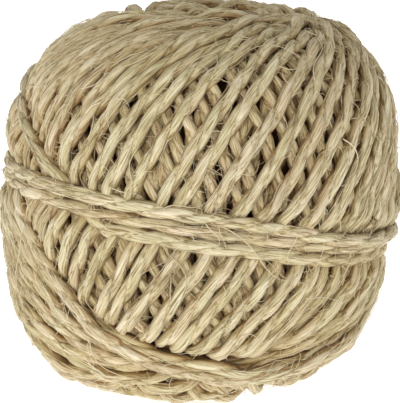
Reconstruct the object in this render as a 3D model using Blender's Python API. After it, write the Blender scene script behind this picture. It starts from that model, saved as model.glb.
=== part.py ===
"""Ball of two-ply sisal string, wound on a slant and finished with a belt round its waist.

Metres, +Z up. The ball rests on its small flat spot at Z = 0.
"""
import math

import bmesh
import bpy
import numpy as np
from mathutils import Vector

# The string and the wound form
string_thickness = 0.0032
ball_half_width = 0.0393
ball_half_height = 0.0388
squareness = 2.92          # 2 is an ellipsoid, higher is closer to a drum
lean = 0.05                # sideways shift of the top, per metre of height
taper = 0.012              # how much wider the shoulders are above than below
flat_spot_depth = 0.0013   # how much of the rounded bottom is pressed flat

# The slanting turns, which pass the winding axis at the opening's angle
axis_tilt_right = math.radians(6.6)
axis_tilt_back = math.radians(10.3)
pole_opening = math.radians(25)
slanted_ridges = 46
rows_pole_to_pole = 14
last_ridged_row = math.radians(70)
groove_depth = 0.0014
top_dimple_depth = 0.0012
sink_under_rings = 0.0004

# The turns laid last, side by side: a bundle low on the left, then the waist belt
bundle_turns = 5
bundle_azimuth = math.radians(-88)
bundle_opening = math.radians(36)
bundle_squeeze = 0.45      # the bundle's least width, as a share of its full width
belt_turns = 3
belt_tilt = math.radians(8.6)
ring_segments = 48
ring_lift = 0.0008         # how far a ring's crests stand over the slanting turns
ring_root_depth = 0.0040   # how far a ring reaches into the ball

ball_name = "string_ball"
straw_colour = (0.56, 0.47, 0.30, 1.0)


def clear_scene():
    """Remove every object that the open file holds."""
    for item in list(bpy.data.objects):
        bpy.data.objects.remove(item, do_unlink=True)


def new_collection(name):
    """Add an empty collection to the scene."""
    group = bpy.data.collections.new(name)
    bpy.context.scene.collection.children.link(group)
    return group


def straw_material():
    """Pale, dry plant fibre."""
    material = bpy.data.materials.new("sisal_string")
    material.use_nodes = True
    shader = material.node_tree.nodes["Principled BSDF"]
    shader.inputs["Base Color"].default_value = straw_colour
    shader.inputs["Roughness"].default_value = 0.8
    shader.inputs["Metallic"].default_value = 0.0
    return material


def winding_frame():
    """Right, back and axis directions of the winding, as unit vectors."""
    axis = np.array([
        math.sin(axis_tilt_right) * math.cos(axis_tilt_back),
        math.sin(axis_tilt_back),
        math.cos(axis_tilt_right) * math.cos(axis_tilt_back),
    ])
    right = np.cross(axis, [0.0, -1.0, 0.0])
    right /= np.linalg.norm(right)
    return right, np.cross(axis, right), axis


def turn_normal(azimuth, opening):
    """Normal of the plane in which one turn lies."""
    right, back, axis = winding_frame()
    sideways = math.cos(azimuth) * right + math.sin(azimuth) * back
    return math.cos(opening) * sideways + math.sin(opening) * axis


def form_radius(directions):
    """Distance from the ball's middle to its drum-like outer form along unit directions."""
    across = np.hypot(directions[:, 0] - lean * directions[:, 2], directions[:, 1])
    upright = np.abs(directions[:, 2])
    power = (across / ball_half_width) ** squareness + (upright / ball_half_height) ** squareness
    return (1 + taper * np.sin(2.2 * directions[:, 2])) * power ** (-1.0 / squareness)


def place_vertices(item, points):
    """Give the object's vertices new places and turn its faces outward."""
    item.data.vertices.foreach_set("co", np.ascontiguousarray(points, dtype=np.float32).ravel())
    work = bmesh.new()
    work.from_mesh(item.data)
    bmesh.ops.recalc_face_normals(work, faces=work.faces)
    work.to_mesh(item.data)
    work.free()
    item.data.update()


def vertex_array(item):
    """The object's vertices as rows of x, y, z."""
    flat = np.empty(len(item.data.vertices) * 3)
    item.data.vertices.foreach_get("co", flat)
    return flat.reshape(-1, 3)


def slanted_body():
    """A sphere twisted so that its columns follow the slanting turns, with a groove between turns."""
    bpy.ops.mesh.primitive_uv_sphere_add(segments=2 * slanted_ridges, ring_count=rows_pole_to_pole, radius=1.0)
    body = bpy.context.object
    body.name = ball_name
    start = vertex_array(body)

    height_angle = np.arcsin(np.clip(start[:, 2], -1.0, 1.0))
    column = np.arctan2(start[:, 1], start[:, 0])
    along_turn = np.clip(height_angle, -last_ridged_row, last_ridged_row)
    polar = np.arccos(math.cos(pole_opening) * np.sin(along_turn))
    slant = np.arccos(np.clip(-math.tan(pole_opening) / np.tan(polar), -1.0, 1.0))

    # Past the last ridged row the sphere closes evenly over each pole.
    to_pole = (math.pi / 2 - np.abs(height_angle)) / (math.pi / 2 - last_ridged_row)
    closing = np.clip(to_pole, 0.0, 1.0)
    rim = math.acos(math.cos(pole_opening) * math.sin(last_ridged_row))
    cap_polar = np.where(height_angle > 0, closing * rim, math.pi - closing * rim)
    in_cap = np.abs(height_angle) > last_ridged_row
    polar = np.where(in_cap, cap_polar, polar)

    right, back, axis = winding_frame()
    azimuth = column + slant
    sideways = np.outer(np.cos(azimuth), right) + np.outer(np.sin(azimuth), back)
    directions = np.sin(polar)[:, None] * sideways + np.cos(polar)[:, None] * axis

    is_groove = np.round(column / (math.pi / slanted_ridges)).astype(int) % 2
    groove = groove_depth * is_groove * np.cos(along_turn) ** 0.5 * np.where(in_cap, 0.0, 1.0)
    dimple = top_dimple_depth * np.cos(closing * math.pi / 2) ** 2 * (height_angle > 0)
    radius = form_radius(directions) - sink_under_rings - groove - dimple
    place_vertices(body, directions * radius[:, None])
    return body


def wound_ring(name, normal, turns, width_share):
    """Turns side by side round the ball, as one ring with a rounded crest for each turn.

    width_share gives the ring's width at an angle from its highest point, as a share of its full width.
    """
    crest_points = 3 * turns
    around_section = crest_points + 4
    bpy.ops.mesh.primitive_torus_add(major_segments=ring_segments, minor_segments=around_section)
    ring = bpy.context.object
    ring.name = name

    # Section: the crests from side to side, then back along the root under the surface.
    step = np.arange(around_section)
    on_crest = step <= crest_points
    side = np.where(on_crest, -1.0 + 2.0 * step / crest_points, 1.0 - 2.0 * (step - crest_points) / 4)
    between = np.abs(np.sin(math.pi * turns * (side + 1.0) / 2))
    rise = np.where(on_crest, ring_lift - 0.5 * string_thickness * (1.0 - between), -ring_root_depth)

    normal = normal / np.linalg.norm(normal)
    level = np.cross([0.0, 0.0, 1.0], normal)
    level /= np.linalg.norm(level)
    uphill = np.cross(normal, level)
    angle = np.repeat(2 * math.pi * np.arange(ring_segments) / ring_segments, around_section)
    half_width = 0.5 * turns * string_thickness * width_share(angle)
    offset = np.tile(side, ring_segments) * half_width / ball_half_width
    directions = np.outer(np.sin(angle), level) + np.outer(np.cos(angle), uphill) + np.outer(offset, normal)
    directions /= np.linalg.norm(directions, axis=1)[:, None]
    radius = form_radius(directions) + np.tile(rise, ring_segments)
    place_vertices(ring, directions * radius[:, None])
    return ring


def lower_bundle():
    """The slanting turns laid last, which crowd together where they pass the poles."""
    def width_share(angle):
        return bundle_squeeze + (1.0 - bundle_squeeze) * np.abs(np.sin(angle))

    return wound_ring("bundle_ring", turn_normal(bundle_azimuth, bundle_opening), bundle_turns, width_share)


def waist_belt():
    """The finishing turns round the waist."""
    normal = np.array([math.sin(belt_tilt), 0.0, math.cos(belt_tilt)])
    return wound_ring("belt_ring", normal, belt_turns, np.ones_like)


def floor_block():
    """The block that presses the ball's bottom flat."""
    size = 3.0 * ball_half_width
    bpy.ops.mesh.primitive_cube_add(size=size)
    block = bpy.context.object
    block.name = "floor_block"
    block.location = (0.0, 0.0, -ball_half_height + flat_spot_depth - size / 2)
    return block


def boolean(item, tool, operation):
    """Join a tool to the object, or cut it away, with an exact Boolean modifier."""
    step = item.modifiers.new(tool.name, "BOOLEAN")
    step.operation = operation
    step.solver = "EXACT"
    step.object = tool


def move_to(item, group):
    """Keep the object in one collection only."""
    for old in list(item.users_collection):
        old.objects.unlink(item)
    group.objects.link(item)


def main():
    clear_scene()
    ball_group = new_collection("ball of string")
    tool_group = new_collection("tools")

    body = slanted_body()
    tools = [(lower_bundle(), "UNION"), (waist_belt(), "UNION"), (floor_block(), "DIFFERENCE")]
    for tool, operation in tools:
        boolean(body, tool, operation)
        move_to(tool, tool_group)
        tool.hide_render = True
        tool.display_type = "WIRE"
    body.data.materials.append(straw_material())
    move_to(body, ball_group)

    # Everything is modelled about the ball's middle, then raised until the flat spot is at Z = 0.
    to_floor = Vector((0.0, 0.0, ball_half_height - flat_spot_depth))
    for item in [body] + [tool for tool, _ in tools]:
        item.location += to_floor


main()
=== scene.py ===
import math
import bpy
import numpy as np
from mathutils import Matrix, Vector


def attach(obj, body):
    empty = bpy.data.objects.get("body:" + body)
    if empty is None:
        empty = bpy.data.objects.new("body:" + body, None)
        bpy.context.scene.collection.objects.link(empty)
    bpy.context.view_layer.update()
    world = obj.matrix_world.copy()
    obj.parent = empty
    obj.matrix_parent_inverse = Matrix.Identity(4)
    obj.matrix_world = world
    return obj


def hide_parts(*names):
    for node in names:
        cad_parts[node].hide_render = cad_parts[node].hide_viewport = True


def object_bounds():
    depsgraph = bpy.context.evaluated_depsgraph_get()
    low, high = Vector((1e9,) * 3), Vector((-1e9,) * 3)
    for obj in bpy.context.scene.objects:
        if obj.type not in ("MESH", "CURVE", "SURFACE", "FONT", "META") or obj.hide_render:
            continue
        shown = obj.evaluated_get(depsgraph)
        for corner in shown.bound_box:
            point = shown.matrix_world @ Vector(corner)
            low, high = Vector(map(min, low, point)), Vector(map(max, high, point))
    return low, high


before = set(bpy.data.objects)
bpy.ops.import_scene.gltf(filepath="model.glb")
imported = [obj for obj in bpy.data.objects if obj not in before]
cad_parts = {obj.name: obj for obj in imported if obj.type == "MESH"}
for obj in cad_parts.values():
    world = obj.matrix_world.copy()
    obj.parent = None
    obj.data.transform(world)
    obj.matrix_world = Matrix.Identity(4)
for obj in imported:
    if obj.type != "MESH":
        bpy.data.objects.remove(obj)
cadLow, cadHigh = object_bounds()
random = np.random.default_rng(23)

# A ball of two-ply sisal string. The string is laid turn by turn on a growing height map, so that each
# turn bridges the ones under it, and only what can be seen is then made as mesh.

string = {
    "thickness": 0.0029,
    "twistLength": 0.0150,      # one full turn of the two plies
    "twistVaries": 0.22,        # share by which that length changes
    "plyOffset": 0.00053,       # from the string's middle to a ply's middle
    "plyDepth": 0.00088,        # half the ply, measured away from the other ply
    "plyWidth": 0.00105,        # half the ply, measured across
    "uneven": 0.20,             # how much a ply swells and thins
    "swells": (0.006, 0.019),   # lengths over which it does so
    "ridges": 0.09,             # height of the fibre bundles on a ply, as a share of its size
    "bundles": (3, 4, 6),       # how many of them lie round a ply, as three sums
    "bundleLength": 0.017,      # length over which they change places
    # painted shade: the sides of the string below this share of its height are darkened
    "grooveFrom": 0.52,         # share of the string's height below which its sides darken
    "step": 0.0012,             # length between two rings of the mesh
}

form = {
    "beltRise": 0.0003,         # how far the belt stands over the rest at the waist
    "flatSpot": 0.0013,         # height lost where the ball rests
    "halfHeight": 0.0393,
    "squareness": 3.0,          # 2 is an ellipsoid, higher is closer to a drum
    "lean": 0.056,              # how far the top leans to the right, as a share of its height
    "taper": 0.012,             # how much wider the shoulders are above than below
    "pressed": 0.36,            # least height of a string's middle over the table, in thicknesses
    "overTable": 0.00005,       # nothing comes lower than this
}
form["halfWidth"] = (cadHigh.x - cadLow.x) / 2 - form["beltRise"]
ballMiddle = np.array([
    (cadLow.x + cadHigh.x) / 2,
    (cadLow.y + cadHigh.y) / 2,
    cadLow.z + form["halfHeight"] - form["flatSpot"],
])

winding = {
    "tiltRight": math.radians(6.6),     # how the axis of the whole winding leans
    "tiltBack": math.radians(10.3),
    "opening": math.radians(26),        # how near the slanting turns come to the poles
    "lastOpening": math.radians(39),    # the last of them stay further off
    "innerOpening": math.radians(9),    # the turns under them close the poles
    "lastAzimuth": math.radians(285),
    "turnShift": math.radians(6.5),     # each turn is shifted this far round the poles
    "bundleShift": math.radians(4.3),   # the last of them lie closer together
    "unevenShift": math.radians(2.1),
    "unevenOpening": math.radians(1.8),
    "sparseAzimuth": math.radians(182),  # here the turns of the last layer lie further apart
    "sparseReach": math.radians(62),
    "sparseness": math.radians(4.6),
    "slantingTurns": 90,                # all turns before the belt
    "topTurns": 58,                     # turns that make the last two full layers
    "bundleTurns": 10,                  # turns laid close together at the end
    "widenFrom": 14,                    # the opening grows from this many turns before the last
    "widenTo": 0,
    "crossover": 0.85,                  # part of a turn from the slant to the belt
    "crossoverAzimuth": math.radians(316),
    "crossoverOpening": math.radians(52),
    "swingOut": (0.02, 0.36),           # parts of that turn in which it leaves the slant
    "swingIn": (0.49, 0.65),            # and joins the belt
    "beltTurns": 2.45,
    "beltTilt": math.radians(8.6),
    "beltPitch": 0.0028,                # from one belt turn to the next
    "beltMiddle": 1.75,                 # turns from its start to the one on the middle line
    "beltRaise": 0.0007,
    "beltDrop": 0.0027,                 # how far it hangs lower on the right
    "beltSqueeze": 0.35,                # how much closer its turns lie there
    "wander": 0.0006,                   # how far a turn strays to its sides
    "wanderLength": 0.021,
    "give": 0.00045,                    # how far a turn presses into what it lies on
    "levelling": 0.11,                  # radians over which swellings even out
    "lastLevelling": 0.055,             # the same under the bundle and the belt
    "highest": 0.0012,                  # most that a turn stands over the outer form
    "deepest": 0.0050,                  # most that it lies under it
    "polesPressed": 0.6,                # share of that height lost at the top and the bottom
    "pressedFrom": 0.72,                # sine of the height where that begins
    "pressedFully": 0.92,
}


def unit(vectors):
    return vectors / np.linalg.norm(vectors, axis=-1, keepdims=True)


# Distance to the outer form along unit directions: a superellipse turned about Z, leaning sideways,
# times a sine of the height that widens it above the middle and narrows it below.
def outerRadius(directions):
    across = np.hypot(directions[..., 0] - form["lean"] * directions[..., 2], directions[..., 1])
    upright = np.abs(directions[..., 2])
    n = form["squareness"]
    power = (across / form["halfWidth"]) ** n + (upright / form["halfHeight"]) ** n
    return (1 + form["taper"] * np.sin(2.2 * directions[..., 2])) * power ** (-1 / n)


# Outward normal of the outer form: the gradient of that superellipse's power sum.
def outerNormal(directions):
    places = directions * outerRadius(directions)[..., None]
    sideways = places[..., 0] - form["lean"] * places[..., 2]
    across = np.hypot(sideways, places[..., 1]) + 1e-9
    n = form["squareness"]
    pull = (across / form["halfWidth"]) ** (n - 1) / form["halfWidth"] / across
    lift = (np.abs(places[..., 2]) / form["halfHeight"]) ** (n - 1) / form["halfHeight"]
    lift = lift * np.sign(places[..., 2])
    upward = lift - form["lean"] * pull * sideways
    return unit(np.stack([pull * sideways, pull * places[..., 1], upward], -1))


# Smooth noise along a line: random values one spacing apart, joined by a cosine blend, from -1 to 1.
def smoothNoise(positions, spacing, source):
    steps = positions / spacing
    low = int(np.floor(steps.min())) - 1
    values = source.uniform(-1, 1, int(np.ceil(steps.max())) - low + 3)
    cell = np.floor(steps).astype(int) - low
    blend = (1 - np.cos(math.pi * (steps - np.floor(steps)))) / 2
    return values[cell] * (1 - blend) + values[cell + 1] * blend


# Moving average along the first axis, with a raised-cosine window of the given half width.
def smoothAlong(values, halfWidth):
    window = np.cos(np.linspace(-math.pi / 2, math.pi / 2, 2 * halfWidth + 3))[1:-1] ** 2
    window /= window.sum()
    before, after = np.repeat(values[:1], halfWidth, 0), np.repeat(values[-1:], halfWidth, 0)
    return np.convolve(np.concatenate([before, values, after]), window, "valid")


# The route: great circles whose pole walks round the winding's axis.

windingAxis = np.array([
    math.sin(winding["tiltRight"]) * math.cos(winding["tiltBack"]),
    math.sin(winding["tiltBack"]),
    math.cos(winding["tiltRight"]) * math.cos(winding["tiltBack"]),
])
windingRight = unit(np.cross(windingAxis, [0.0, -1.0, 0.0]))
windingBack = np.cross(windingAxis, windingRight)


# Normal of a turn's plane, from the azimuth of its pole and how near the turn comes to the axis.
def turnNormal(azimuth, opening):
    sideways = np.cos(azimuth)[..., None] * windingRight + np.sin(azimuth)[..., None] * windingBack
    return np.cos(opening)[..., None] * sideways + np.sin(opening)[..., None] * windingAxis


def ease(values, start, end):
    share = np.clip((values - start) / (end - start), 0, 1)
    return share * share * (3 - 2 * share)


# The whole string as directions from the ball's middle, with the side direction of each place.
# turn counts turns, and a whole number is where the string crosses the waist on the right.
def stringRoute():
    squareTurn = 1.06 * 2 * math.pi * form["halfWidth"]     # a squarish turn is longer than a circle
    perTurn = int(round(squareTurn / string["step"]))
    lastSlant = winding["slantingTurns"]
    turn = np.arange(int((lastSlant + winding["crossover"] + winding["beltTurns"]) * perTurn)) / perTurn
    toGo = lastSlant - np.minimum(turn, lastSlant)
    inBundle = np.minimum(toGo, winding["bundleTurns"])
    azimuth = winding["lastAzimuth"] - winding["bundleShift"] * inBundle
    azimuth = azimuth - winding["turnShift"] * (toGo - inBundle)
    offSparse = np.clip((azimuth - winding["sparseAzimuth"]) / winding["sparseReach"], -1, 1)
    azimuth = azimuth + winding["sparseness"] * np.sin(math.pi * offSparse)
    azimuth = azimuth + winding["unevenShift"] * smoothNoise(turn, 1.3, random) * ease(toGo, 2, 14)
    widened = 1 - ease(toGo, winding["widenTo"], winding["widenFrom"])
    opening = winding["opening"] + (winding["lastOpening"] - winding["opening"]) * widened
    inner = ease(toGo, winding["topTurns"] - 2, winding["topTurns"] + 2)
    opening = opening + (winding["innerOpening"] - opening) * inner
    opening = opening + winding["unevenOpening"] * smoothNoise(turn, 1.9, random) * ease(toGo, 0, 12)
    normals = turnNormal(azimuth, opening)

    # from the slant it swings over to the belt
    entry = turnNormal(np.array(winding["crossoverAzimuth"]), np.array(winding["crossoverOpening"]))
    belt = np.array([math.sin(winding["beltTilt"]), 0.0, math.cos(winding["beltTilt"])])
    leaving, joining = winding["swingOut"], winding["swingIn"]
    toEntry = ease(turn, lastSlant + leaving[0], lastSlant + leaving[1])[:, None]
    toBelt = ease(turn, lastSlant + joining[0], lastSlant + joining[1])[:, None]
    normals = unit(normals * (1 - toEntry) + entry * toEntry)
    normals = unit(normals * (1 - toBelt) + belt * toBelt)
    rightward = np.cos(2 * math.pi * turn)
    pitch = winding["beltPitch"] * (1 - winding["beltSqueeze"] * ease(rightward, 0, 1))
    beltOffset = (turn - lastSlant - winding["beltMiddle"]) * pitch + winding["beltRaise"]
    beltOffset = (beltOffset - winding["beltDrop"] * ease(rightward, -0.15, 0.95)) * toBelt[:, 0]

    uphill = unit(windingAxis - normals * (normals @ windingAxis)[:, None])
    ahead = np.cross(uphill, normals)
    phase = (2 * math.pi * turn)[:, None]
    directions = np.cos(phase) * ahead + np.sin(phase) * uphill
    distance = turn * 2 * math.pi * form["halfWidth"]
    calm = 1 - 0.7 * toBelt[:, 0]
    aside = beltOffset + winding["wander"] * calm * smoothNoise(distance, winding["wanderLength"], random)
    return turn, directions, normals, aside


laying = {
    "mapSide": 512,             # cells along a side of the height map
    "coarseCell": 8,            # cells averaged into one when swellings level out
    "contact": 0.46,            # half the width that touches, in string thicknesses
    "slips": (-1.2, -0.8, -0.4, 0, 0.4, 0.8, 1.2),  # ways to slip aside that are tried, in mm
    "slipCost": 0.35,           # height in mm that a slip of 1 mm has to win
    "slipRun": 24,              # samples over which one turn's slip goes over into the next
    "spanPasses": 60,           # passes that pull the string straight over hollows
}
mapSide = laying["mapSide"]


# The height map is the sphere folded onto an octahedron and opened into a square. These are the cells
# that directions fall in, and below the directions of all cells, with the share of the sphere of each.
def mapCell(directions):
    flat = directions / np.abs(directions).sum(-1, keepdims=True)
    folded = (1 - np.abs(flat[..., 1::-1])) * np.where(flat[..., :2] >= 0, 1, -1)
    place = np.where(flat[..., 2:3] < 0, folded, flat[..., :2])
    cell = np.clip(((place + 1) / 2 * mapSide).astype(int), 0, mapSide - 1)
    return cell[..., 1] * mapSide + cell[..., 0]


def mapDirections(side):
    line = (np.arange(side) + 0.5) / side * 2 - 1
    v, u = np.meshgrid(line, line, indexing="ij")
    up = 1 - np.abs(u) - np.abs(v)
    x = np.where(up < 0, (1 - np.abs(v)) * np.sign(u), u)
    y = np.where(up < 0, (1 - np.abs(u)) * np.sign(v), v)
    places = np.stack([x, y, up], axis=-1).reshape(-1, 3)
    size = np.linalg.norm(places, axis=1)
    return places / size[:, None], size ** -3.0


# Directions shifted sideways by distances on the ball's surface.
def shifted(directions, sides, reach, offsets):
    moved = directions[:, None, :] + sides[:, None, :] * (offsets / reach[:, None])[..., None]
    return unit(moved)


# A coarse map made larger by a whole factor: straight lines between cell middles, level past the outer ones.
def enlarged(coarse, factor):
    side = coarse.shape[0]
    place = np.clip((np.arange(side * factor) + 0.5) / factor - 0.5, 0, side - 1.001)
    low = place.astype(int)
    share = place - low
    rows = coarse[low] * (1 - share)[:, None] + coarse[low + 1] * share[:, None]
    return rows[:, low] * (1 - share) + rows[:, low + 1] * share


# Each turn slips into the nearest hollow, rests on the highest thing under it, spans what is lower and
# joins the height map as a half round. Then the map sinks by its Gaussian average, so the ball keeps its
# shape. Gives the turn numbers, the directions, the heights over the outer form and what can be seen.
def layWinding():
    turn, directions, sides, aside = stringRoute()
    heights = np.zeros(mapSide * mapSide)
    owners = np.full(mapSide * mapSide, -1)
    reach = outerRadius(directions)
    half = string["thickness"] * laying["contact"]
    across = np.linspace(-0.94, 0.94, 9) * half
    dome = np.sqrt(half ** 2 - across ** 2)
    acrossFine = np.linspace(-1, 1, 17) * half
    domeFine = np.sqrt(half ** 2 - acrossFine ** 2)
    trials = np.array(laying["slips"]) * 0.001
    sag = string["step"] ** 2 / (2 * reach)
    laid = np.zeros(len(turn))
    lines = directions.copy()
    wholeTurn = np.floor(turn).astype(int)
    lastSlip = 0.0
    coarseCell = laying["coarseCell"]
    coarseSide = mapSide // coarseCell
    coarseDirections, area = mapDirections(coarseSide)
    coarseDirections = coarseDirections.astype(np.float32)
    closeness = coarseDirections @ coarseDirections.T - 1

    def levellingWeights(reachOver):
        near = np.exp(closeness / reachOver ** 2) * area.astype(np.float32)
        return near / near.sum(axis=1, keepdims=True)

    near = levellingWeights(winding["levelling"])

    for number in range(wholeTurn[-1] + 1):
        part = np.flatnonzero(wholeTurn == number)
        if number == winding["slantingTurns"] - winding["bundleTurns"]:
            near = levellingWeights(winding["lastLevelling"])
        here, side, far = directions[part], sides[part], reach[part]
        # the string slips sideways into the hollow between its neighbours
        ways = (aside[part][:, None] + trials)[:, :, None] + across
        found = heights[mapCell(shifted(here, side, far, ways.reshape(len(part), -1)))].reshape(ways.shape)
        rest = (found + dome).max(axis=2) + laying["slipCost"] * (trials * 1000) ** 2 * 0.001
        slip = smoothAlong(trials[rest.argmin(axis=1)], 6) * (number < winding["slantingTurns"])
        slip = lastSlip + (slip - lastSlip) * ease(np.arange(len(part)), 0, laying["slipRun"])
        lastSlip = slip[-1]
        aside[part] += slip
        # it rests on the highest thing under its width, presses in a little, and spans what is lower
        under = heights[mapCell(shifted(here, side, far, aside[part][:, None] + across))]
        rest = (under + dome).max(axis=1)
        rest = smoothAlong(rest, 2) - winding["give"]
        centre = rest.copy()
        before = laid[part[0] - 1] if number else rest[0]
        for _ in range(laying["spanPasses"]):
            ends = np.concatenate([[before], centre, centre[-1:]])
            centre = np.maximum(rest, (ends[:-2] + ends[2:]) / 2 - sag[part])
        laid[part] = centre
        lines[part] = shifted(here, side, far, aside[part][:, None])[:, 0]
        # it becomes part of the surface that later turns lie on
        fine = np.linspace(0, len(part) - 1, len(part) * 5)
        low = np.minimum(fine.astype(int), len(part) - 2)
        share = (fine - low)[:, None]
        line = unit(here[low] * (1 - share) + here[low + 1] * share)
        asideFine = np.interp(fine, np.arange(len(part)), aside[part])[:, None] + acrossFine
        cells = mapCell(shifted(line, side[low], far[low], asideFine))
        tops = np.interp(fine, np.arange(len(part)), centre)[:, None] + domeFine
        np.maximum.at(heights, cells.ravel(), tops.ravel())
        onTop = heights[cells] <= tops + 1e-9
        owners[cells[onTop]] = number
        # tension keeps the ball in shape: broad swellings sink back, and everything laid sinks with them
        coarse = heights.reshape(coarseSide, coarseCell, coarseSide, coarseCell).mean(axis=(1, 3)).ravel()
        swelling = enlarged((near @ coarse).reshape(coarseSide, coarseSide), coarseCell).ravel()
        heights -= swelling
        laid[:part[-1] + 1] -= swelling[mapCell(lines[:part[-1] + 1])]

    # a place is seen where some of its width is still the topmost
    width = np.linspace(-1, 1, 9)[None] * half * np.ones((len(turn), 1))
    cells = mapCell(shifted(lines, sides, reach, width))
    seen = (owners[cells] == wholeTurn[:, None]).any(axis=1)
    return turn, lines, laid, seen


print("laying the winding")
turn, lines, lift, seen = layWinding()

# The string's middle line in space, and the frame that travels along it
nearPole = ease(np.abs(lines[:, 2]), winding["pressedFrom"], winding["pressedFully"])
flattened = 1 - winding["polesPressed"] * nearPole
most = np.where(lift > 0, winding["highest"] * flattened, winding["deepest"])
lift = smoothAlong(most * np.tanh(lift / most), 2)
middle = lines * (outerRadius(lines) - string["thickness"] * 0.5 + lift)[:, None]
middle[:, 2] = np.maximum(middle[:, 2], -ballMiddle[2] + form["pressed"] * string["thickness"])
tangent = unit(np.gradient(middle, axis=0))
outward = outerNormal(lines)
outward = unit(outward - tangent * (outward * tangent).sum(1, keepdims=True))
sideways = np.cross(tangent, outward)
along = np.concatenate([[0], np.cumsum(np.linalg.norm(np.diff(middle, axis=0), axis=1))])

# Runs of the string that can be seen, with eight more samples at both ends
padded = np.convolve(seen, np.ones(17), "same") > 0
twistPitch = string["twistLength"] * (1 + string["twistVaries"] * smoothNoise(along, 0.035, random))
twist = -2 * math.pi * np.cumsum(np.gradient(along) / twistPitch)


# The two plies: each an ellipse beside the string's middle that turns with the twist. It swells and thins
# along the string, and sums of cosines round the string raise fibre bundles that run straight along it.
# With the rings come the fibre coordinates, and how far a place lies down in the groove beside the string,
# which the material darkens as painted shade.
def plyRings(keep, sides, source):
    around = np.linspace(0, 2 * math.pi, sides, endpoint=False)
    rings, coordinates, grooves = [], [], []
    for ply in (0, 1):
        shift = 0.37 * ply
        swell = 0.6 * smoothNoise(along + shift, string["swells"][0], source)
        swell = swell + 0.7 * smoothNoise(along + shift, string["swells"][1], source)
        turned = (twist + math.pi * ply)[keep][:, None]
        bundles = 0
        for count in string["bundles"]:
            drift = 4 * smoothNoise(along + shift, string["bundleLength"], source)[keep][:, None]
            bundles = bundles + np.cos(count * (around + turned) + drift)
        bundles = bundles / 3
        size = (1 + string["uneven"] * swell)[keep][:, None] * (1 + string["ridges"] * 1.7 * bundles)
        depth = string["plyOffset"] + string["plyDepth"] * np.cos(around) * size
        width = string["plyWidth"] * np.sin(around) * size
        high = depth * np.cos(turned) - width * np.sin(turned)
        aside = depth * np.sin(turned) + width * np.cos(turned)
        ring = middle[keep][:, None] + high[..., None] * outward[keep][:, None] \
            + aside[..., None] * sideways[keep][:, None] + ballMiddle
        ring[..., 2] = np.maximum(ring[..., 2], form["overTable"])
        rings.append(ring)
        lengths = np.broadcast_to(along[keep][:, None], high.shape) + 0.5 * ply
        coordinates.append(np.stack([high, aside, lengths], axis=-1))
        grooves.append(np.clip(string["grooveFrom"] - high / (0.5 * string["thickness"]), 0, 1))
    return np.concatenate(rings), np.concatenate(coordinates), np.concatenate(grooves)


# Rings of equal size joined into capped tubes. starts marks the first ring of each tube.
def tubes(name, rings, starts, attributes):
    count, around = rings.shape[:2]
    first = np.flatnonzero(starts)
    last = np.append(first[1:] - 1, count - 1)
    lower = np.setdiff1d(np.arange(count), last)
    k = np.arange(around)
    corner = lower[:, None] * around + k
    nextCorner = lower[:, None] * around + (k + 1) % around
    quads = np.stack([corner, nextCorner, nextCorner + around, corner + around], axis=-1).reshape(-1)
    startCaps = (first[:, None] * around + k[::-1]).reshape(-1)
    endCaps = (last[:, None] * around + k).reshape(-1)
    corners = np.concatenate([quads, startCaps, endCaps])
    sizes = np.concatenate([np.full(len(quads) // 4, 4), np.full(2 * len(first), around)])
    mesh = bpy.data.meshes.new(name)
    mesh.vertices.add(count * around)
    mesh.vertices.foreach_set("co", rings.astype(np.float32).ravel())
    mesh.loops.add(len(corners))
    mesh.loops.foreach_set("vertex_index", corners.astype(np.int32))
    mesh.polygons.add(len(sizes))
    mesh.polygons.foreach_set("loop_start", np.concatenate([[0], np.cumsum(sizes)[:-1]]).astype(np.int32))
    mesh.polygons.foreach_set("use_smooth", np.ones(len(sizes), bool))
    mesh.update(calc_edges=True)
    for key, values in attributes.items():
        kind = "FLOAT_VECTOR" if values.ndim == 3 else "FLOAT"
        layer = mesh.attributes.new(key, kind, "POINT")
        field = "vector" if kind == "FLOAT_VECTOR" else "value"
        layer.data.foreach_set(field, values.astype(np.float32).ravel())
    piece = bpy.data.objects.new(name, mesh)
    bpy.context.collection.objects.link(piece)
    return piece


# How far down among the turns a place lies, from 0 at the outer form to 1 two strings down. The material
# paints shade by it.
def buried(places):
    local = places - ballMiddle
    distance = np.linalg.norm(local, axis=-1)
    depth = outerRadius(local / distance[..., None]) - distance
    return np.clip(depth / (2.0 * string["thickness"]), 0, 1)


fibreLook = {
    "roughness": 0.6,
    "sheen": 0.12,
    "streaks": (2900, 2900, 130),   # noise cells per metre across the string, up from it and along it
    "patches": (330, 330, 70),
    "tones": (0, 0, 9),
    "ridgeStrength": 0.9,
    "ridgeHeight": 0.00022,
}
white = (1, 1, 1, 1)
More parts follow.
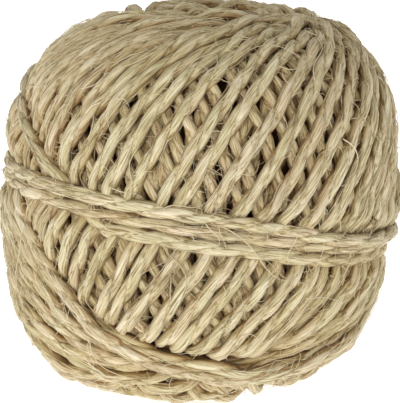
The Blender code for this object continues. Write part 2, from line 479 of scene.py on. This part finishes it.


# Dry plant fibre: noise stretched along the fibres runs through a ramp of straw colours, and is multiplied
# by broad noise patches, by a slow rosy or olive noise along the string, by a brown painted shade for the
# depth among the turns and by a painted shade for the groove between neighbours. The same streaks raise
# fine ridges.
def straw(name, tint):
    material = bpy.data.materials.new(name)
    material.use_nodes = True
    nodes, links = material.node_tree.nodes, material.node_tree.links
    shader = nodes["Principled BSDF"]
    shader.inputs["Roughness"].default_value = fibreLook["roughness"]
    shader.inputs["Sheen Weight"].default_value = fibreLook["sheen"]
    shader.inputs["Sheen Roughness"].default_value = 0.5
    shader.inputs["Specular IOR Level"].default_value = 0.3

    def stretchedNoise(scale, detail):
        place = nodes.new("ShaderNodeMapping")
        place.inputs["Scale"].default_value = scale
        links.new(fibre.outputs["Vector"], place.inputs["Vector"])
        noise = nodes.new("ShaderNodeTexNoise")
        noise.inputs["Scale"].default_value = 1.0
        noise.inputs["Detail"].default_value = detail
        noise.inputs["Roughness"].default_value = 0.62
        links.new(place.outputs["Vector"], noise.inputs["Vector"])
        return noise.outputs["Fac"]

    def ramp(value, stops):
        node = nodes.new("ShaderNodeValToRGB")
        elements = node.color_ramp.elements
        elements[0].position, elements[0].color = stops[0]
        elements[1].position, elements[1].color = stops[-1]
        for position, colour in stops[1:-1]:
            elements.new(position).color = colour
        links.new(value, node.inputs["Fac"])
        return node.outputs["Color"]

    def multiplied(first, second):
        node = nodes.new("ShaderNodeMix")
        node.data_type = "RGBA"
        node.blend_type = "MULTIPLY"
        node.inputs["Factor"].default_value = 1.0
        links.new(first, node.inputs["A"])
        links.new(second, node.inputs["B"])
        return node.outputs["Result"]

    fibre = nodes.new("ShaderNodeAttribute")
    fibre.attribute_name = "fibre"
    depth = nodes.new("ShaderNodeAttribute")
    depth.attribute_name = "depth"
    groove = nodes.new("ShaderNodeAttribute")
    groove.attribute_name = "groove"
    streaks = stretchedNoise(fibreLook["streaks"], 5.0)
    patches = stretchedNoise(fibreLook["patches"], 2.0)
    tones = stretchedNoise(fibreLook["tones"], 0.0)
    strawColour = ramp(streaks, [
        (0.37, tint["shadow"]), (0.45, tint["middle"]), (0.55, tint["light"]), (0.65, tint["bleached"])])
    weathering = ramp(patches, [(0.34, tint["patchLow"]), (0.62, white)])
    toneColour = ramp(tones, [(0.38, tint["rosy"]), (0.62, tint["olive"])])
    # painted shade: the deeper among the turns, the browner and darker
    depthShade = ramp(depth.outputs["Fac"], [
        (0.10, white), (0.28, tint["belowTop"]), (0.50, tint["halfDeep"]), (0.80, tint["deep"])])
    # painted shade in the groove between neighbouring strings
    grooveShade = ramp(groove.outputs["Fac"], [(0.0, white), (0.45, tint["grooveSide"]), (1.0, tint["grooveFoot"])])
    colour = strawColour
    for layer in (weathering, toneColour, depthShade, grooveShade):
        colour = multiplied(colour, layer)
    links.new(colour, shader.inputs["Base Color"])

    bump = nodes.new("ShaderNodeBump")
    bump.inputs["Strength"].default_value = fibreLook["ridgeStrength"]
    bump.inputs["Distance"].default_value = fibreLook["ridgeHeight"]
    links.new(streaks, bump.inputs["Height"])
    links.new(bump.outputs["Normal"], shader.inputs["Normal"])
    return material


# The four straw colours from dark to pale, and under them the colours that multiply them: random patches and
# tones, then painted shade for the depth among the turns and for the groove beside each string
stringTint = {
    "shadow": (0.28, 0.19, 0.085, 1),
    "middle": (0.52, 0.44, 0.275, 1),
    "light": (0.685, 0.615, 0.45, 1),
    "bleached": (0.775, 0.72, 0.58, 1),
    "patchLow": (0.82, 0.79, 0.69, 1),
    "rosy": (1.0, 0.95, 0.945, 1),
    "olive": (0.97, 0.985, 0.92, 1),
    # painted shade, from just below the top to deep among the turns
    "belowTop": (0.95, 0.91, 0.82, 1),
    "halfDeep": (0.85, 0.76, 0.60, 1),
    "deep": (0.28, 0.12, 0.03, 1),
    # painted shade in the groove beside each string
    "grooveSide": (0.66, 0.54, 0.38, 1),
    "grooveFoot": (0.36, 0.215, 0.10, 1),
}
sisal = straw("sisal", stringTint)

# The string in separate lengths, from the turns laid first: turns from and to, and the sides of a ply
lengths = {
    "under_turns": (0, 30, 6),
    "crossing_turns": (30, 60, 8),
    "slanting_turns": (60, 80, 10),
    "lower_bundle": (80, 90, 12),
    "waist_belt": (90, 99, 12),
}

pieces = []
for name, (firstTurn, lastTurn, plySides) in lengths.items():
    keep = np.flatnonzero(padded & (turn >= firstTurn) & (turn < lastTurn))
    breaks = np.concatenate([[True], np.diff(keep) > 1])
    rings, coordinates, grooves = plyRings(keep, plySides, np.random.default_rng(int(firstTurn) + 5))
    attributes = {"fibre": coordinates, "depth": buried(rings), "groove": grooves}
    piece = tubes(name, rings, np.tile(breaks, 2), attributes)
    piece.data.materials.append(sisal)
    pieces.append(piece)
    print("made", name)


inside = {
    "below": 2.3,               # how far under the outer form, in string thicknesses
    "around": 96,
    "rows": 48,
    "overTable": 0.001,
}


# The inside that shows through the gaps, dark with painted shade: the outer form made smaller, as rings from
# pole to pole.
def insideSurface():
    longitude = np.linspace(0, 2 * math.pi, inside["around"], endpoint=False)[None, :]
    latitude = np.radians(np.linspace(-88, 88, inside["rows"]))[:, None]
    directions = np.stack([
        np.cos(latitude) * np.cos(longitude),
        np.cos(latitude) * np.sin(longitude),
        np.sin(latitude) + 0 * longitude,
    ], axis=-1)
    radius = outerRadius(directions) - inside["below"] * string["thickness"]
    rings = directions * radius[..., None] + ballMiddle
    rings[..., 2] = np.maximum(rings[..., 2], inside["overTable"])
    starts = np.arange(inside["rows"]) == 0
    # depth 1 all over gives the inside the darkest painted shade
    return tubes("inside", rings, starts, {"fibre": rings - ballMiddle, "depth": np.ones(rings.shape[:2])})


piece = insideSurface()
piece.data.materials.append(sisal)
pieces.append(piece)
print("made the inside")


fibreClearance = 0.0003         # fibres that would come nearer to the table are left out


# Three-sided tubes along many short paths at once. Their radius thins with the square of the way along.
def fibreTubes(name, paths, startRadius, endRadius):
    clear = (paths[..., 2] > -ballMiddle[2] + fibreClearance).all(axis=1)
    paths, startRadius = paths[clear], startRadius[clear]
    count, points = paths.shape[:2]
    run = unit(np.gradient(paths, axis=1))
    away = unit(paths)
    away = unit(away - run * (away * run).sum(-1, keepdims=True) + 1e-6)
    across = np.cross(run, away)
    taper = np.linspace(0, 1, points)[None, :, None, None] ** 2
    radius = startRadius[:, None, None, None] * (1 - taper) + endRadius * taper
    angles = np.array([0, 2 * math.pi / 3, 4 * math.pi / 3])[None, None, :, None]
    outline = np.cos(angles) * away[:, :, None] + np.sin(angles) * across[:, :, None]
    rings = paths[:, :, None] + radius * outline
    rings = rings.reshape(-1, 3, 3) + ballMiddle
    starts = np.tile(np.arange(points) == 0, count)
    own = np.repeat(random.uniform(0, 1, count), points)[:, None, None]
    coordinates = np.broadcast_to(own, (len(rings), 3, 3))
    # the fibres take the same painted shade by depth as the string
    return tubes(name, rings, starts, {"fibre": coordinates, "depth": buried(rings)})


# Values of a per-sample array at fractional sample numbers.
def between(values, places):
    low = np.clip(places.astype(int), 0, len(values) - 2)
    share = np.clip(places - low, 0, 1)
    if values.ndim > 1:
        share = share[..., None]
    return values[low] * (1 - share) + values[low + 1] * share


# Distance from the string's middle to the outside of the two plies, at an angle from the line that joins
# them: the far root of the ray's crossing with one ply's ellipse.
def plyOutline(angle):
    offset, depth, width = string["plyOffset"], string["plyDepth"], string["plyWidth"]
    forward = np.abs(np.cos(angle)) / depth ** 2
    square = (np.cos(angle) / depth) ** 2 + (np.sin(angle) / width) ** 2
    inner = np.maximum(square - (offset * np.sin(angle) / (depth * width)) ** 2, 0)
    return (offset * forward + np.sqrt(inner)) / square


clinging = {
    "count": 4400,
    "darkCount": 1800,
    "thickness": 0.00019,
    "tip": 0.00003,
    "shortest": 0.003,
    "longest": 0.012,
    "lifting": 0.00010,         # how far its end stands off the string
}


# Fibres that lie along the string: they follow its middle at a slowly changing angle, near the outline of
# the plies, and bridge the groove between them.
def clingingFibres(name, count):
    root = random.choice(np.flatnonzero(seen), count).astype(float)
    length = random.uniform(clinging["shortest"], clinging["longest"], count) / string["step"]
    share = np.linspace(0, 1, 5)
    place = root[:, None] + (length * random.choice([-1, 1], count))[:, None] * share
    angle = random.uniform(-1.8, 1.8, count)[:, None] + random.normal(0, 0.5, count)[:, None] * share
    wave = random.uniform(2, 7, count)[:, None] * share + random.uniform(0, 6, count)[:, None]
    angle = angle + 0.25 * np.sin(wave)
    outline = plyOutline(angle - between(twist, place))
    lifted = random.exponential(clinging["lifting"], count)[:, None] * (share ** 2 + 0.15)
    radius = 0.65 * outline + 0.35 * (string["plyOffset"] + string["plyDepth"]) + lifted
    up, side = between(outward, place), between(sideways, place)
    off = np.cos(angle)[..., None] * up + np.sin(angle)[..., None] * side
    paths = between(middle, place) + radius[..., None] * off
    return fibreTubes(name, paths, random.uniform(0.3, 0.75, count) * clinging["thickness"], clinging["tip"])


short = {
    "count": 5000,
    "thickness": 0.00018,
    "tip": 0.00003,
    "length": 0.0020,
}


# Short fibres that stick out of the string's sides into the gaps, as parabolas held under the outer form.
def shortFibres():
    count = short["count"]
    root = random.choice(np.flatnonzero(seen), count).astype(float)
    angle = random.choice([-1, 1], count) * random.uniform(0.3, 1.9, count)
    out = np.cos(angle)[:, None] * between(outward, root) + np.sin(angle)[:, None] * between(sideways, root)
    start = between(middle, root) + out * (plyOutline(angle - between(twist, root)) * 0.9)[:, None]
    heading = unit(between(tangent, root) * random.normal(0, 0.8, count)[:, None]
                   + out * random.uniform(0.3, 1.0, count)[:, None] + 0.3 * random.normal(size=(count, 3)))
    bend = random.normal(size=(count, 3)) * 0.5 - 0.5 * between(outward, root)
    length = random.gamma(3.0, short["length"] / 3, count)[:, None, None]
    share = np.linspace(0, 1, 4)[None, :, None]
    paths = start[:, None] + length * (heading[:, None] * share + bend[:, None] * share ** 2)
    distance = np.linalg.norm(paths, axis=-1, keepdims=True)
    paths = paths * np.minimum(1, outerRadius(paths / distance)[..., None] / distance)
    radius = random.uniform(0.25, 0.5, count) * short["thickness"]
    return fibreTubes("short_fibres", paths, radius, short["tip"])


# level is the usual height over the string it comes from, spread how much that changes
curls = {"count": 3400, "points": 6, "length": 0.0026, "turning": 2.8, "thickness": 0.00017,
         "tip": 0.00004, "level": -0.0006, "spread": 0.0006}
strays = {"count": 460, "points": 12, "length": 0.0085, "turning": 1.0, "thickness": 0.00022,
          "tip": 0.00004, "level": -0.0001, "spread": 0.0003}


highestCrest = 0.0004           # a loose fibre starts no higher over the outer form than this
lowestRise, highestRise = -0.0030, 0.0001


# Loose fibres: paths over the outer form whose heading turns steadily with a little wave. They start at
# the height of the string they come from, and their height changes along them.
def looseFibres(name, kind):
    count, points = kind["count"], kind["points"]
    root = random.choice(np.flatnonzero(seen), count)
    here, side, ahead = lines[root], sideways[root], tangent[root]
    length = 0.35 * kind["length"] + random.gamma(2.0, 0.33 * kind["length"], count)
    share = np.linspace(0, 1, points)
    wave = np.sin(share * 5 + random.uniform(0, 6, count)[:, None])
    heading = random.normal(0, 1.0, count)[:, None] + 0.5 * wave \
        + kind["turning"] * random.normal(0, 1, count)[:, None] * share
    stepLength = (length / (points - 1) / outerRadius(here))[:, None]
    forward = np.cumsum(np.cos(heading) * stepLength, axis=1)
    aside = np.cumsum(np.sin(heading) * stepLength, axis=1)
    moved = forward[..., None] * ahead[:, None] + aside[..., None] * side[:, None]
    directions = unit(here[:, None] + moved)
    rise = kind["level"] + kind["spread"] * (
        random.normal(0, 1, count)[:, None] + random.normal(0, 1.2, count)[:, None] * (share - 0.3))
    crest = np.minimum(lift[root], highestCrest)[:, None]
    paths = directions * (outerRadius(directions) + crest + np.clip(rise, lowestRise, highestRise))[..., None]
    return fibreTubes(name, paths, random.uniform(0.3, 0.6, count) * kind["thickness"], kind["tip"])


paleFibre = straw("pale_fibre", dict(
    stringTint, shadow=(0.60, 0.50, 0.31, 1), middle=(0.72, 0.64, 0.44, 1), light=(0.80, 0.74, 0.56, 1),
    bleached=(0.86, 0.82, 0.66, 1)))
tanFibre = straw("tan_fibre", dict(
    stringTint, shadow=(0.22, 0.15, 0.06, 1), middle=(0.36, 0.27, 0.13, 1), light=(0.50, 0.42, 0.24, 1),
    bleached=(0.60, 0.52, 0.34, 1)))
for piece, finish in (
    (clingingFibres("clinging_fibres_pale", clinging["count"]), paleFibre),
    (clingingFibres("clinging_fibres_tan", clinging["darkCount"]), tanFibre),
    (shortFibres(), paleFibre),
    (looseFibres("curled_fibres", curls), paleFibre),
    (looseFibres("stray_fibres", strays), paleFibre),
):
    piece.data.materials.append(finish)
    pieces.append(piece)
    print("made", piece.name)

for piece in pieces:
    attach(piece, "root")
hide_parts("string_ball")
triangles = [sum(len(polygon.vertices) - 2 for polygon in piece.data.polygons) for piece in pieces]
print("triangles", dict(zip([piece.name for piece in pieces], triangles)), sum(triangles))


studio = {
    "viewHeight": math.radians(10),
    "distance": 0.62,
    "frameWidth": 0.0801,       # what the camera takes in at the ball
    "aimX": 0.0001,             # from the ball's middle
    "aimZ": 0.0377,             # over the table
    "skyline": (1.0, 1.0, 1.0, 1),
    "overhead": (0.36, 0.34, 0.27, 1),  # at this sine of the height and above
    "fromHeight": 0.25,
    "toHeight": 0.9,
    "floorWhite": (0.93, 0.93, 0.93, 1),
    "floorGlow": 0.85,          # light that the white table gives by itself
    "keyPlace": (-0.30, -0.78, 0.14),
    "keySize": 0.35,
    "keyPower": 2.15,
    "keyColour": (1.0, 0.99, 0.96),
}

# A white table that glows a little
bpy.ops.mesh.primitive_plane_add(size=3)
floor = bpy.context.object
floor.name = "floor"
paper = bpy.data.materials.new("white_table")
paper.use_nodes = True
paperShader = paper.node_tree.nodes["Principled BSDF"]
paperShader.inputs["Base Color"].default_value = studio["floorWhite"]
paperShader.inputs["Roughness"].default_value = 0.9
paperShader.inputs["Emission Color"].default_value = (1, 1, 1, 1)
paperShader.inputs["Emission Strength"].default_value = studio["floorGlow"]
floor.data.materials.append(paper)

# White all round at eye level, darker overhead
world = bpy.data.worlds.new("studio")
world.use_nodes = True
worldNodes, worldLinks = world.node_tree.nodes, world.node_tree.links
sky = worldNodes.new("ShaderNodeTexCoord")
skyHeight = worldNodes.new("ShaderNodeSeparateXYZ")
skyRamp = worldNodes.new("ShaderNodeValToRGB")
skyRamp.color_ramp.elements[0].position = studio["fromHeight"]
skyRamp.color_ramp.elements[0].color = studio["skyline"]
skyRamp.color_ramp.elements[1].position = studio["toHeight"]
skyRamp.color_ramp.elements[1].color = studio["overhead"]
worldLinks.new(sky.outputs["Generated"], skyHeight.inputs["Vector"])
worldLinks.new(skyHeight.outputs["Z"], skyRamp.inputs["Fac"])
worldLinks.new(skyRamp.outputs["Color"], worldNodes["Background"].inputs["Color"])
worldNodes["Background"].inputs["Strength"].default_value = 1.0
bpy.context.scene.world = world

# One soft box, low at the front left, that faces the ball
light = bpy.data.lights.new("key_light", "AREA")
light.shape = "DISK"
light.size = studio["keySize"]
light.energy = studio["keyPower"]
light.color = studio["keyColour"]
lamp = bpy.data.objects.new("key_light", light)
lamp.location = studio["keyPlace"]
toBall = Vector(ballMiddle) - lamp.location
lamp.rotation_euler = toBall.to_track_quat("-Z", "Y").to_euler()
bpy.context.collection.objects.link(lamp)

# The camera looks at the front, a little from above
camera = bpy.data.objects.new("camera", bpy.data.cameras.new("camera"))
back = np.array([0, -math.cos(studio["viewHeight"]), math.sin(studio["viewHeight"])])
aim = np.array([ballMiddle[0] + studio["aimX"], ballMiddle[1], studio["aimZ"]])
camera.location = aim + back * studio["distance"]
camera.rotation_euler = (math.pi / 2 - studio["viewHeight"], 0, 0)
camera.data.sensor_fit = "HORIZONTAL"
camera.data.sensor_width = 36
camera.data.lens = 36 * studio["distance"] / studio["frameWidth"]
camera.data.clip_start = 0.01
bpy.context.collection.objects.link(camera)
bpy.context.scene.camera = camera
bpy.context.scene.view_settings.view_transform = "Standard"
print("set the studio")
